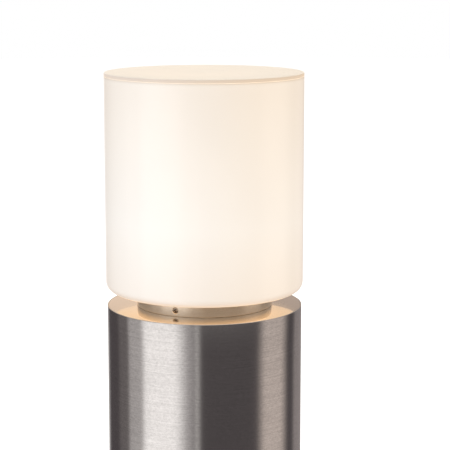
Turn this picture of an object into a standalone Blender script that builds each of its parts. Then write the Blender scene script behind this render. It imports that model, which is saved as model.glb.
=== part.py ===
"""Bollard light with a round steel post and an opal drum shade.

Metres, +Z up. Origin: centre of the base plate's underside. The front is -Y.
A welded collar on the post's top plate holds the neck of the shade with three
radial grub screws. An E27 lamp stands in a porcelain holder inside the neck,
and a terminal box on a tray stands in the foot of the post.
"""

import math

import bmesh
import bpy
from mathutils import Matrix, Vector

# ---------------------------------------------------------------- dimensions
MM = 0.001

TOTAL_H = 600.0          # ground to the top of the shade
POST_R = 54.0            # 108 mm tube
POST_WALL = 2.0
POST_TOP = 471.1         # the rim, and the top plate's upper face
BASE_R = 75.0
BASE_T = 6.0
ANCHOR_CIRCLE_R = 64.5
ANCHOR_HOLE_R = 4.5
CABLE_HOLE_R = 16.0
SPIGOT_H = 40.0
FOOT_SCREW_Z = 26.3
FOOT_SCREW_ANGLES = (90.0, 210.0, 330.0)

SHADE_R = 54.7
SHADE_WALL = 3.0
SHADE_FLOOR_Z = 479.5    # underside of the shade
SHADE_FILLET = 5.0
SHADE_HOLE_R = 34.4
DISC_T = 2.0
NECK_R = 34.1
NECK_BORE_R = 32.1       # lets a 60 mm lamp through

COLLAR_R = 37.5
COLLAR_BORE_R = 34.5
COLLAR_TOP = 479.2
CLAMP_Z = 474.35
CLAMP_R = 1.5            # M3 grub screws
CLAMP_ANGLES = (245.2, 5.2, 125.2)
PLATE_HOLE_R = 21.0

LAMP_R = 30.0
LAMP_TOP = 553.0
E27_R = 13.2
E27_PITCH = 3.629

TRAY_Y = 24.0            # front face of the gear tray
BOX_Z = (110.0, 200.0)
BOX_HALF_W = 30.0
GLAND_Y = 8.0
GAP = 0.3                # between pieces that touch

# ---------------------------------------------------------------- clean start
for old in list(bpy.data.objects):
    bpy.data.objects.remove(old, do_unlink=True)

scene = bpy.context.scene
root = bpy.data.objects.new("bollard_light", None)
scene.collection.objects.link(root)


# ---------------------------------------------------------------- materials
def material(name, colour, roughness, metallic=0.0, emission=None, strength=0.0):
    mat = bpy.data.materials.new(name)
    mat.use_nodes = True
    shader = mat.node_tree.nodes["Principled BSDF"]
    shader.inputs["Base Color"].default_value = (*colour, 1.0)
    shader.inputs["Roughness"].default_value = roughness
    shader.inputs["Metallic"].default_value = metallic
    if emission:
        shader.inputs["Emission Color"].default_value = (*emission, 1.0)
        shader.inputs["Emission Strength"].default_value = strength
    mat.diffuse_color = (*colour, 1.0)
    return mat


def steel(name, roughness=0.3):
    return material(name, (0.62, 0.60, 0.58), roughness, 1.0)


def zinc(name):
    return material(name, (0.66, 0.67, 0.68), 0.42, 1.0)


def brass(name):
    return material(name, (0.72, 0.56, 0.28), 0.35, 1.0)


# ---------------------------------------------------------------- shape tools
def finish(name, bm, mat, parent=None, smooth_angle=35.0):
    bmesh.ops.recalc_face_normals(bm, faces=bm.faces)
    mesh = bpy.data.meshes.new(name)
    bm.to_mesh(mesh)
    bm.free()
    mesh.shade_smooth()
    mesh.set_sharp_from_angle(angle=math.radians(smooth_angle))
    if mat:
        mesh.materials.append(mat)
    obj = bpy.data.objects.new(name, mesh)
    scene.collection.objects.link(obj)
    obj.parent = parent or root
    return obj


def hex_radius(apothem, angle):
    """Distance from the centre to a hexagon's side, with corners at 0, 60, 120... degrees."""
    part = math.fmod(angle, math.pi / 3)
    return apothem / math.cos(part - math.pi / 6)


def turned_mesh(profile, segments):
    """A closed body turned about Z. Each profile point is (radius, z) or
    (half the width across flats, z, "hex"). A profile that starts and ends on
    the axis stays open there; any other is a closed ring."""
    bm = bmesh.new()
    rings = []
    for point in profile:
        r, z = point[0] * MM, point[1] * MM
        if r < 1e-9:
            rings.append([bm.verts.new((0, 0, z))])
            continue
        ring = []
        for k in range(segments):
            a = 2 * math.pi * k / segments
            here = hex_radius(r, a) if len(point) > 2 else r
            ring.append(bm.verts.new((here * math.cos(a), here * math.sin(a), z)))
        rings.append(ring)
    closed = len(rings[0]) > 1
    pairs = list(zip(rings, rings[1:])) + ([(rings[-1], rings[0])] if closed else [])
    for low, high in pairs:
        for k in range(segments):
            n = (k + 1) % segments
            if len(low) == 1 and len(high) == 1:
                continue
            if len(low) == 1:
                bm.faces.new((low[0], high[k], high[n]))
            elif len(high) == 1:
                bm.faces.new((low[k], low[n], high[0]))
            else:
                bm.faces.new((low[k], low[n], high[n], high[k]))
    return bm


def turned(name, profile, mat, segments=48, parent=None):
    return finish(name, turned_mesh(profile, segments), mat, parent)


def arc(cx, cz, r, start, end, steps):
    """Points of an arc in a profile, angles in degrees from the outward direction."""
    return [
        (
            cx + r * math.cos(math.radians(start + (end - start) * i / steps)),
            cz + r * math.sin(math.radians(start + (end - start) * i / steps)),
        )
        for i in range(steps + 1)
    ]


def extruded(name, outline, low, high, plane, mat, parent=None):
    """A flat outline pulled from low to high along the axis that plane leaves out."""
    bm = bmesh.new()
    place = {
        "XY": lambda a, b, c: (a, b, c),
        "XZ": lambda a, b, c: (a, c, b),
        "YZ": lambda a, b, c: (c, a, b),
    }[plane]
    verts = [bm.verts.new([v * MM for v in place(a, b, low)]) for a, b in outline]
    face = bm.faces.new(verts)
    pulled = bmesh.ops.extrude_face_region(bm, geom=[face])
    top = [g for g in pulled["geom"] if isinstance(g, bmesh.types.BMVert)]
    step = Vector([v * MM for v in place(0, 0, high - low)])
    bmesh.ops.translate(bm, verts=top, vec=step)
    return finish(name, bm, mat, parent)


def rectangle(half_a, low_b, high_b, corner=0.0, steps=3):
    if corner <= 0:
        return [(-half_a, low_b), (half_a, low_b), (half_a, high_b), (-half_a, high_b)]
    points = []
    for cx, cz, start in (
        (half_a - corner, high_b - corner, 0),
        (corner - half_a, high_b - corner, 90),
        (corner - half_a, low_b + corner, 180),
        (half_a - corner, low_b + corner, 270),
    ):
        points += arc(cx, cz, corner, start, start + 90, steps)
    return points


def rods(name, items, segments=16):
    """A hidden cutter: round or hexagonal rods, each (start, end, radius[, "hex"]) in mm."""
    bm = bmesh.new()
    for item in items:
        start, end, r = Vector(item[0]), Vector(item[1]), item[2]
        length = (end - start).length
        tag = item[3:4]
        one = turned_mesh(
            [(0, 0), (r, 0, *tag), (r, length, *tag), (0, length)], segments
        )
        turn = Vector((0, 0, 1)).rotation_difference((end - start).normalized())
        bmesh.ops.transform(
            one,
            matrix=Matrix.Translation(start * MM) @ turn.to_matrix().to_4x4(),
            verts=one.verts,
        )
        bmesh.ops.recalc_face_normals(one, faces=one.faces)
        mesh = bpy.data.meshes.new("rod")
        one.to_mesh(mesh)
        one.free()
        bm.from_mesh(mesh)
        bpy.data.meshes.remove(mesh)
    return hide(finish(name, bm, None))


def hide(obj):
    obj.hide_render = True
    obj.display_type = "WIRE"
    return obj


def cut(obj, cutter):
    mod = obj.modifiers.new("cut_" + cutter.name, "BOOLEAN")
    mod.operation = "DIFFERENCE"
    mod.solver = "EXACT"
    mod.object = cutter
    return obj


def radial(angle, r, z):
    a = math.radians(angle)
    return Vector((r * math.cos(a), r * math.sin(a), z))


def aim(obj, position, direction):
    """Puts a piece made along +Z at position (mm), with its +Z along direction."""
    obj.location = Vector(position) * MM
    obj.rotation_mode = "QUATERNION"
    obj.rotation_quaternion = Vector((0, 0, 1)).rotation_difference(
        Vector(direction).normalized()
    )
    return obj


def copy_of(source, name, mat):
    mesh = source.data.copy()
    mesh.name = name
    mesh.materials.clear()
    mesh.materials.append(mat)
    obj = bpy.data.objects.new(name, mesh)
    scene.collection.objects.link(obj)
    obj.parent = root
    return obj


def lead(name, route, radius, mat, spacing, resolution=2):
    """A round lead along a smooth curve through the route's points (mm)."""
    pts = [Vector(p) for p in route]
    ends = [2 * pts[0] - pts[1]] + pts + [2 * pts[-1] - pts[-2]]
    dense = []
    for i in range(1, len(ends) - 2):
        p0, p1, p2, p3 = ends[i - 1 : i + 3]
        for s in range(24):
            t = s / 24
            dense.append(
                0.5
                * (
                    2 * p1
                    + (p2 - p0) * t
                    + (2 * p0 - 5 * p1 + 4 * p2 - p3) * t * t
                    + (3 * p1 - p0 - 3 * p2 + p3) * t**3
                )
            )
    dense.append(pts[-1])
    length = sum((b - a).length for a, b in zip(dense, dense[1:]))
    count = max(8, round(length / spacing))
    points, walked, step = [dense[0]], 0.0, length / count
    for a, b in zip(dense, dense[1:]):
        piece = (b - a).length
        while len(points) < count and walked + piece >= step * len(points):
            points.append(a + (b - a) * ((step * len(points) - walked) / piece))
        walked += piece
    points.append(dense[-1])
    curve = bpy.data.curves.new(name, "CURVE")
    curve.dimensions = "3D"
    spline = curve.splines.new("POLY")
    spline.points.add(len(points) - 1)
    for at, p in zip(spline.points, points):
        at.co = (*(p * MM), 1.0)
    curve.bevel_depth = radius * MM
    curve.bevel_resolution = resolution
    curve.use_fill_caps = True
    curve.materials.append(mat)
    obj = bpy.data.objects.new(name, curve)
    scene.collection.objects.link(obj)
    obj.parent = root
    return obj


# ---------------------------------------------------------------- post and base
post_mat = steel("brushed_post_steel", 0.28)
post_tube = turned(
    "post_tube",
    [
        (POST_R - POST_WALL, BASE_T + GAP),
        (POST_R, BASE_T + GAP),
        (POST_R, POST_TOP - 0.3),
        (POST_R - 0.3, POST_TOP),
        (POST_R - 0.5, POST_TOP),
        (POST_R - 0.5, POST_TOP - 2.6),
        (POST_R - POST_WALL, POST_TOP - 2.6),
    ],
    post_mat,
)
foot_holes = rods(
    "foot_screw_holes",
    [
        (radial(a, 44, FOOT_SCREW_Z), radial(a, 58, FOOT_SCREW_Z), 2.9)
        for a in FOOT_SCREW_ANGLES
    ],
    12,
)
cut(post_tube, foot_holes)

# The plate sits in a rebate of the tube's rim, so that only a fine rim line shows.
top_plate = turned(
    "top_plate",
    [
        (PLATE_HOLE_R, POST_TOP - 5.0),
        (51.6, POST_TOP - 5.0),
        (51.6, POST_TOP - 2.3),
        (53.2, POST_TOP - 2.3),
        (53.2, POST_TOP - 0.2),
        (53.0, POST_TOP),
        (PLATE_HOLE_R, POST_TOP),
    ],
    steel("polished_plate_steel", 0.12),
)

base_plate = turned(
    "base_plate",
    [
        (CABLE_HOLE_R, 0),
        (BASE_R, 0),
        (BASE_R, BASE_T - 0.8),
        (BASE_R - 0.8, BASE_T),
        (CABLE_HOLE_R, BASE_T),
    ],
    steel("base_steel", 0.35),
)
TRAY_SCREWS = ((-12.0, 34.0), (12.0, 34.0))
plate_holes = rods(
    "base_plate_holes",
    [
        (radial(a, ANCHOR_CIRCLE_R, -1), radial(a, ANCHOR_CIRCLE_R, 8), ANCHOR_HOLE_R)
        for a in (45, 135, 225, 315)
    ]
    + [((x, y, -1), (x, y, 8), 2.3) for x, y in TRAY_SCREWS],
    16,
)
cut(base_plate, plate_holes)

base_spigot = turned(
    "base_spigot",
    [
        (47.6, BASE_T + GAP),
        (51.6, BASE_T + GAP),
        (51.6, BASE_T + SPIGOT_H - 1.5),
        (50.6, BASE_T + SPIGOT_H),
        (47.6, BASE_T + SPIGOT_H),
    ],
    steel("spigot_steel", 0.4),
)
cut(base_spigot, foot_holes)

# Button-head screws: built along +Z from the shank's tip, with a hex socket.
for number, angle in enumerate(FOOT_SCREW_ANGLES, 1):
    screw = turned(
        f"foot_screw_{number}",
        [
            (0, 0),
            (2.2, 0),
            (2.5, 0.5),
            (2.5, 10.0),
            (4.75, 10.0),
            (4.6, 11.2),
            (3.4, 12.4),
            (2.6, 12.7),
            (1.5, 12.7, "hex"),
            (1.5, 11.0, "hex"),
            (0, 11.0),
        ],
        steel(f"foot_screw_{number}_steel", 0.25),
        12,
    )
    aim(screw, radial(angle, 44.4, FOOT_SCREW_Z), radial(angle, 1, 0))

# ---------------------------------------------------------------- collar and clamp screws
collar = turned(
    "collar",
    [
        (COLLAR_BORE_R, POST_TOP + GAP),
        (COLLAR_R, POST_TOP + GAP),
        (COLLAR_R, COLLAR_TOP - 0.3),
        (COLLAR_R - 0.3, COLLAR_TOP),
        (COLLAR_BORE_R, COLLAR_TOP),
    ],
    steel("collar_steel", 0.32),
)
clamp_holes = rods(
    "clamp_screw_holes",
    [
        (radial(a, 32, CLAMP_Z), radial(a, 40, CLAMP_Z), CLAMP_R + 0.17)
        for a in CLAMP_ANGLES
    ],
    12,
)
cut(collar, clamp_holes)
for number, angle in enumerate(CLAMP_ANGLES, 1):
    pivot = bpy.data.objects.new(f"clamp_screw_{number}_axis", None)
    scene.collection.objects.link(pivot)
    pivot.parent = root
    screw = turned(
        f"clamp_screw_{number}",
        [
            (0, 0),
            (1.0, 0),
            (1.5, 0.5),
            (1.5, 2.65),
            (1.3, 2.85),
            (0.8, 2.85, "hex"),
            (0.8, 1.2, "hex"),
            (0, 1.2),
        ],
        steel(f"clamp_screw_{number}_steel", 0.3),
        12,
        parent=pivot,
    )
    aim(pivot, radial(angle, NECK_R + GAP, CLAMP_Z), radial(angle, 1, 0))

# ---------------------------------------------------------------- shade
shade_axis = bpy.data.objects.new("shade_lift_axis", None)
scene.collection.objects.link(shade_axis)
shade_axis.parent = root

opal = material("opal_acrylic", (0.93, 0.91, 0.87), 0.3, 0.0, (1.0, 0.86, 0.68), 0.6)
disc_under = TOTAL_H - DISC_T
turned(
    "shade_body",
    [(SHADE_HOLE_R, SHADE_FLOOR_Z)]
    + arc(
        SHADE_R - SHADE_FILLET,
        SHADE_FLOOR_Z + SHADE_FILLET,
        SHADE_FILLET,
        -90,
        0,
        4,
    )
    + [
        (SHADE_R, disc_under - GAP),
        (SHADE_R - SHADE_WALL, disc_under - GAP),
    ]
    + arc(
        SHADE_R - SHADE_FILLET,
        SHADE_FLOOR_Z + SHADE_FILLET,
        SHADE_FILLET - SHADE_WALL,
        0,
        -90,
        1,
    )
    + [(SHADE_HOLE_R, SHADE_FLOOR_Z + SHADE_WALL)],
    opal,
    parent=shade_axis,
)
turned(
    "shade_top_disc",
    [
        (0, disc_under),
        (SHADE_R - 0.3, disc_under),
        (SHADE_R, disc_under + 0.3),
        (SHADE_R, TOTAL_H - 0.5),
        (SHADE_R - 0.5, TOTAL_H),
        (0, TOTAL_H),
    ],
    material("opal_disc", (0.93, 0.91, 0.87), 0.3, 0.0, (1.0, 0.86, 0.68), 0.6),
    parent=shade_axis,
)
neck_top = SHADE_FLOOR_Z + SHADE_WALL + 1.5
turned(
    "shade_neck_ring",
    [
        (NECK_BORE_R, POST_TOP + 1.6),
        (NECK_R, POST_TOP + 1.6),
        (NECK_R, neck_top),
        (NECK_BORE_R, neck_top),
    ],
    material("neck_acrylic", (0.92, 0.90, 0.86), 0.4),
    parent=shade_axis,
)
turned(
    "shade_gasket",
    [
        (NECK_BORE_R + 0.2, POST_TOP + GAP),
        (NECK_R, POST_TOP + GAP),
        (NECK_R, POST_TOP + 1.3),
        (NECK_BORE_R + 0.2, POST_TOP + 1.3),
    ],
    material("silicone", (0.78, 0.77, 0.74), 0.6),
    32,
)

# ---------------------------------------------------------------- lampholder and its strap
PLATE_UNDER = POST_TOP - 5.0
STRAP_TOP = PLATE_UNDER - GAP
STRAP_LEG = 28.0         # middle of each leg
STUD_X = 39.0
strap = extruded(
    "holder_bracket",
    [
        (-46, STRAP_TOP),
        (-46, STRAP_TOP - 2),
        (-29, STRAP_TOP - 2),
        (-29, 426),
        (29, 426),
        (29, STRAP_TOP - 2),
        (46, STRAP_TOP - 2),
        (46, STRAP_TOP),
        (27, STRAP_TOP),
        (27, 428),
        (-27, 428),
        (-27, STRAP_TOP),
    ],
    -8,
    8,
    "XZ",
    zinc("strap_zinc"),
)
cut(
    strap,
    rods(
        "strap_holes",
        [
            ((0, 0, 424), (0, 0, 430), 5.4),
            ((-STUD_X, 0, 460), (-STUD_X, 0, 468), 2.4),
            ((STUD_X, 0, 460), (STUD_X, 0, 468), 2.4),
        ],
        16,
    ),
)
for number, x in ((1, -STUD_X), (2, STUD_X)):
    stud = turned(
        f"bracket_stud_{number}",
        [(0, 454), (1.6, 454), (2.0, 454.5), (2.0, STRAP_TOP), (0, STRAP_TOP)],
        zinc(f"bracket_stud_{number}_zinc"),
        12,
    )
    stud.location.x = x * MM
NUT_TOP = {1: STRAP_TOP - 2.3, 2: STRAP_TOP - 3.8}
for number, x in ((1, -STUD_X), (2, STUD_X)):
    top = NUT_TOP[number]
    nut = turned(
        f"bracket_nut_{number}",
        [
            (2.3, top - 3.2),
            (3.5, top - 3.2, "hex"),
            (3.5, top, "hex"),
            (2.3, top),
        ],
        zinc(f"bracket_nut_{number}_zinc"),
        12,
    )
    nut.location.x = x * MM

turned(
    "holder_nipple",
    [(3.7, 417.5), (4.6, 417.5), (5.0, 418.0), (5.0, 436.0), (3.7, 436.0)],
    brass("nipple_brass"),
    12,
)
turned(
    "nipple_nut",
    [(5.35, 421.7), (8.0, 421.7, "hex"), (8.0, 425.7, "hex"), (5.35, 425.7)],
    brass("nipple_nut_brass"),
    12,
)
turned(
    "lampholder_body",
    [
        (5.4, 428.3),
        (9.0, 428.3),
        (9.0, 433.0),
        (13.5, 437.0),
        (18.5, 441.5),
        (19.5, 444.0),
        (19.5, 473.6),
        (18.9, 474.3),
        (16.2, 474.3),
        (16.2, 441.0),
        (2.4, 441.0),
        (2.4, 436.3),
        (5.4, 436.3),
    ],
    material("porcelain", (0.88, 0.87, 0.84), 0.2),
    24,
)
turned(
    "lampholder_shell",
    [
        (13.6, 471.0),
        (14.6, 471.0),
        (14.6, 444.0),
        (9.0, 444.0),
        (9.0, 444.8),
        (13.6, 444.8),
    ],
    brass("shell_brass"),
    24,
)
turned(
    "lampholder_contact",
    [(0, 441.3), (6.0, 441.3), (6.0, 442.1), (3.2, 442.6), (1.6, 443.5), (0, 443.6)],
    brass("contact_brass"),
    12,
)

# ---------------------------------------------------------------- lamp
cap_axis = bpy.data.objects.new("lamp_rise_axis", None)
scene.collection.objects.link(cap_axis)
cap_axis.parent = root
turn_axis = bpy.data.objects.new("lamp_turn_axis", None)
scene.collection.objects.link(turn_axis)
turn_axis.parent = cap_axis

turned(
    "bulb_contact",
    [(0, 443.9), (3.0, 444.1), (4.6, 444.9), (4.6, 445.4), (0, 445.4)],
    zinc("solder"),
    12,
    parent=cap_axis,
)
turned(
    "bulb_insulator",
    [(0, 445.7), (5.2, 445.7), (9.7, 449.4), (9.7, 450.8), (0, 450.8)],
    material("black_glass", (0.03, 0.03, 0.035), 0.15),
    16,
    parent=cap_axis,
)
# The cap's rolled thread, as crests one pitch apart.
crests = []
for k in range(5):
    z = 452.0 + E27_PITCH * k
    crests += [(E27_R - 0.8, z), (E27_R, z + E27_PITCH / 2)]
turned(
    "bulb_cap",
    [(10.2, 448.9), (11.2, 449.6)]
    + crests
    + [(E27_R - 0.5, 471.5), (11.6, 471.5), (11.6, 452.2), (10.2, 450.6)],
    zinc("cap_nickel"),
    20,
    parent=cap_axis,
)
turned(
    "bulb_housing",
    [
        (0, 471.8),
        (13.6, 471.8),
        (14.4, 474.0),
        (16.4, 484.0),
        (20.5, 494.5),
        (24.2, 502.0),
        (24.6, 504.7),
        (0, 504.7),
    ],
    material("lamp_housing_white", (0.85, 0.85, 0.84), 0.4),
    24,
    parent=turn_axis,
)
GLOBE_Z = LAMP_TOP - LAMP_R
foot_angle = math.degrees(math.asin((505.0 - GLOBE_Z) / LAMP_R))
inner_angle = math.degrees(math.asin((505.0 - GLOBE_Z) / (LAMP_R - 1.5)))
turned(
    "bulb_globe",
    [(0, LAMP_TOP)]
    + arc(0, GLOBE_Z, LAMP_R, 75, foot_angle, 7)
    + arc(0, GLOBE_Z, LAMP_R - 1.5, inner_angle, 72, 5)
    + [(0, LAMP_TOP - 1.5)],
    material("lamp_opal", (0.95, 0.93, 0.88), 0.35, 0.0, (1.0, 0.86, 0.68), 2.0),
    24,
    parent=turn_axis,
)

# ---------------------------------------------------------------- gear tray and terminal box
tray = extruded(
    "gear_tray",
    [
        (TRAY_Y, BASE_T + GAP),
        (TRAY_Y + 18, BASE_T + GAP),
        (TRAY_Y + 18, BASE_T + GAP + 2),
        (TRAY_Y + 2, BASE_T + GAP + 2),
        (TRAY_Y + 2, 262),
        (TRAY_Y, 262),
    ],
    -20,
    20,
    "YZ",
    zinc("tray_zinc"),
)
EARTH_Z = 238.0
BOX_SCREW_Z = (128.0, 184.0)
cut(
    tray,
    rods(
        "tray_holes",
        [((x, y, 5), (x, y, 10), 2.4) for x, y in TRAY_SCREWS]
        + [((0, 22, z), (0, 28, z), 2.4) for z in BOX_SCREW_Z]
        + [((0, 22, EARTH_Z), (0, 28, EARTH_Z), 2.9)],
        16,
    ),
)
for number, (x, y) in enumerate(TRAY_SCREWS, 1):
    screw = turned(
        f"tray_screw_{number}",
        [
            (0, 0.6),
            (1.6, 0.6),
            (2.0, 1.1),
            (2.0, 8.6),
            (3.5, 8.6, "hex"),
            (3.5, 11.4, "hex"),
            (0, 11.4),
        ],
        zinc(f"tray_screw_{number}_zinc"),
        12,
    )
    screw.location = (x * MM, y * MM, 0)

grey = material("box_grey", (0.42, 0.43, 0.44), 0.5)
box_back = TRAY_Y - GAP
box = extruded(
    "terminal_box",
    rectangle(BOX_HALF_W, BOX_Z[0], BOX_Z[1], 4.0),
    -12,
    box_back,
    "XZ",
    grey,
)
low, high = BOX_Z[0] + 2.5, BOX_Z[1] - 2.5
pocket = hide(
    extruded(
        "terminal_box_pocket",
        [
            (-21, low),
            (21, low),
            (21, low + 6.5),
            (27.5, low + 6.5),
            (27.5, high - 6.5),
            (21, high - 6.5),
            (21, high),
            (-21, high),
            (-21, high - 6.5),
            (-27.5, high - 6.5),
            (-27.5, low + 6.5),
            (-21, low + 6.5),
        ],
        -14,
        box_back - 2.5,
        "XZ",
        None,
    )
)
cut(box, pocket)
LID_SCREWS = [(x, z) for z in (BOX_Z[0] + 5, BOX_Z[1] - 5) for x in (-25.0, 25.0)]
cut(
    box,
    rods(
        "terminal_box_holes",
        [((x, -14, z), (x, 0, z), 1.8) for x, z in LID_SCREWS]
        + [((0, 18, z), (0, 28, z), 2.4) for z in BOX_SCREW_Z]
        + [
            ((0, GLAND_Y, BOX_Z[0] - 2), (0, GLAND_Y, BOX_Z[0] + 5), 8.3),
            ((0, GLAND_Y, BOX_Z[1] - 5), (0, GLAND_Y, BOX_Z[1] + 2), 8.3),
        ],
        16,
    ),
)
lid = extruded(
    "box_lid",
    rectangle(BOX_HALF_W, BOX_Z[0], BOX_Z[1], 4.0),
    -12 - GAP - 3,
    -12 - GAP,
    "XZ",
    material("lid_grey", (0.45, 0.46, 0.47), 0.45),
)
cut(
    lid,
    rods(
        "box_lid_holes", [((x, -18, z), (x, -10, z), 1.9) for x, z in LID_SCREWS], 12
    ),
)
for number, (x, z) in enumerate(LID_SCREWS, 1):
    screw = turned(
        f"lid_screw_{number}",
        [(0, 0), (1.1, 0), (1.5, 0.6), (1.5, 11.6), (3.0, 11.6), (2.6, 13.2), (0, 13.6)],
        zinc(f"lid_screw_{number}_zinc"),
        12,
    )
    aim(screw, (x, -4.0, z), (0, -1, 0))
for number, z in enumerate(BOX_SCREW_Z, 1):
    screw = turned(
        f"box_screw_{number}",
        [(0, 0), (1.6, 0), (2.0, 0.5), (2.0, 8.1), (3.6, 8.1), (3.2, 9.9), (0, 10.3)],
        zinc(f"box_screw_{number}_zinc"),
        12,
    )
    aim(screw, (0, 29.0, z), (0, -1, 0))

block = extruded(
    "terminal_block",
    rectangle(20, 147, 165, 1.5, 2),
    7,
    box_back - 2.5 - GAP,
    "XZ",
    material("block_white", (0.86, 0.85, 0.81), 0.45),
)
cut(
    block,
    rods(
        "terminal_block_holes",
        [((x, 16, 140), (x, 16, 170), 2.0) for x in (-12, 0, 12)]
        + [((x, 5, z), (x, 11, z), 2.2) for x in (-12, 0, 12) for z in (151.5, 160.5)],
        8,
    ),
)


def gland(name, mat, upward):
    """A cable gland through a wall: dome, hexagon and thread, bored through."""
    wall = 0.0
    profile = [
        (3.9, wall - 17.5),
        (6.4, wall - 17.5),
        (8.6, wall - 14.5),
        (8.6, wall - 6.5),
        (9.5, wall - 6.0, "hex"),
        (9.5, wall - GAP, "hex"),
        (7.9, wall - GAP),
        (7.9, wall + 9.0),
        (3.9, wall + 9.0),
    ]
    obj = turned(name, profile, mat, 18)
    if upward:
        obj.rotation_euler = (math.pi, 0, 0)
    return obj


def gland_nut(name, mat, upward):
    z0 = 2.5 + GAP
    obj = turned(
        name,
        [(8.25, z0), (9.8, z0, "hex"), (9.8, z0 + 3.6, "hex"), (8.25, z0 + 3.6)],
        mat,
        18,
    )
    if upward:
        obj.rotation_euler = (math.pi, 0, 0)
    return obj


gland_grey = (0.30, 0.31, 0.32)
for name, z, upward in (
    ("inlet_gland", BOX_Z[0], False),
    ("outlet_gland", BOX_Z[1], True),
):
    for piece in (
        gland(name, material(name + "_grey", gland_grey, 0.5), upward),
        gland_nut(name + "_nut", material(name + "_nut_grey", gland_grey, 0.5), upward),
    ):
        piece.location = (0, GLAND_Y * MM, z * MM)

# ---------------------------------------------------------------- earth bond
earth_stud = turned(
    "earth_stud",
    [
        (0, 0),
        (4.0, 0, "hex"),
        (4.0, 3.3, "hex"),
        (2.5, 3.3),
        (2.5, 15.5),
        (2.0, 16.0),
        (0, 16.0),
    ],
    zinc("earth_stud_zinc"),
    12,
)
aim(earth_stud, (0, TRAY_Y + 2 + GAP + 3.3, EARTH_Z), (0, -1, 0))
earth_nut = turned(
    "earth_nut",
    [(2.8, 0), (4.0, 0, "hex"), (4.0, 3.8, "hex"), (2.8, 3.8)],
    brass("earth_nut_brass"),
    12,
)
aim(earth_nut, (0, TRAY_Y - 2.1, EARTH_Z), (0, -1, 0))


def lug(name, mat):
    """A ring tongue: eye at the origin, tail along +Y, 1.2 mm thick."""
    outline = [
        (5.0 * math.cos(math.radians(a)), 5.0 * math.sin(math.radians(a)))
        for a in range(130, 411, 28)
    ]
    outline += [(2.2, 6.5), (2.2, 15.0), (-2.2, 15.0), (-2.2, 6.5)]
    return extruded(name, outline, 0.0, 1.2, "XY", mat)


lower_lug = lug("earth_lug_lower", zinc("lug_tin_lower"))
lower_lug.rotation_euler = (math.pi / 2, 0, 0)
lower_lug.location = (0, (TRAY_Y - GAP) * MM, EARTH_Z * MM)
cut(
    lower_lug,
    rods("lower_lug_hole", [((0, 20, EARTH_Z), (0, 26, EARTH_Z), 2.9)], 16),
)
upper_lug = lug("earth_lug_upper", zinc("lug_tin_upper"))
upper_lug.location = (STUD_X * MM, 0, (STRAP_TOP - 2 - GAP - 1.2) * MM)
cut(
    upper_lug,
    rods("upper_lug_hole", [((STUD_X, 0, 458), (STUD_X, 0, 466), 2.4)], 16),
)
LUG_Z = STRAP_TOP - 2 - GAP - 0.6
lead(
    "earth_lead",
    [
        (0, TRAY_Y - 2.0, EARTH_Z + 15.3),
        (0, TRAY_Y - 3.0, EARTH_Z + 24),
        (4, 20, 290),
        (18, 16, 345),
        (30, 20, 400),
        (36, 26, 440),
        (38, 25, 456),
        (39.2, 20, LUG_Z - 0.3),
        (39, 15.3, LUG_Z),
    ],
    1.5,
    material("earth_insulation", (0.25, 0.42, 0.10), 0.45),
    9.0,
    1,
)
lead(
    "lamp_cable",
    [
        (0, GLAND_Y, 165.4),
        (0, GLAND_Y, 190),
        (0, GLAND_Y, 215),
        (0, GLAND_Y - 1, 240),
        (-5, 2, 290),
        (-6, -5, 335),
        (-2, -4, 380),
        (0, 0, 408),
        (0, 0, 420),
        (0, 0, 435.4),
    ],
    3.2,
    material("cable_sheath", (0.80, 0.79, 0.76), 0.5),
    14.0,
)
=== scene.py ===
import math

import bmesh
import bpy
from mathutils import Matrix, Vector


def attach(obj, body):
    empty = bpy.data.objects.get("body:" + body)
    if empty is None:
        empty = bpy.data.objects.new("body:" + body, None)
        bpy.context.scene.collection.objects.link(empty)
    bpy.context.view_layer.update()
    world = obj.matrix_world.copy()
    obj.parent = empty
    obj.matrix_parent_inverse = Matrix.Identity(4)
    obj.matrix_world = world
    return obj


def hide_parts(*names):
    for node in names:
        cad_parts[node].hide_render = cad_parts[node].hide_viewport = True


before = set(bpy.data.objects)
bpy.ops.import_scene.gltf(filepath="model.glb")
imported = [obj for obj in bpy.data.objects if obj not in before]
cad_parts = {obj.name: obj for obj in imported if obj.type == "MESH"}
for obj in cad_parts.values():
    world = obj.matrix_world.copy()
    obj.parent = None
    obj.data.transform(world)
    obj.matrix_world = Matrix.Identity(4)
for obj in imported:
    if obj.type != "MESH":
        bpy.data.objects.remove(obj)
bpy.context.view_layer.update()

MM = 0.001
scene = bpy.context.scene

# ------------------------------------------------------------------ dimensions (mm)
POST_R, POST_IN, POST_TOP = 54.0, 52.0, 471.1
BASE_R, BASE_T = 75.0, 6.0
SHADE_R, SHADE_WALL, SHADE_Z0, SHADE_Z1 = 54.7, 3.0, 479.5, 600.0
NECK_R, NECK_IN = 34.1, 32.1
COLLAR_R, COLLAR_IN, COLLAR_Z1 = 37.5, 34.5, 479.2
CLAMP_Z, CLAMP_ANGLES = 474.35, (245.2, 5.2, 125.2)
FOOT_Z, FOOT_ANGLES = 26.3, (90.0, 210.0, 330.0)
LAMP_R, LAMP_TOP = 30.0, 553.0
PITCH = 3.629


# ------------------------------------------------------------------ mesh tools
def arc(cx, cz, r, start, end, steps):
    out = []
    for i in range(steps + 1):
        a = math.radians(start + (end - start) * i / steps)
        out.append((cx + r * math.cos(a), cz + r * math.sin(a)))
    return out


def hex_r(apothem, a):
    return apothem / math.cos(math.fmod(a, math.pi / 3) - math.pi / 6)


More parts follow.
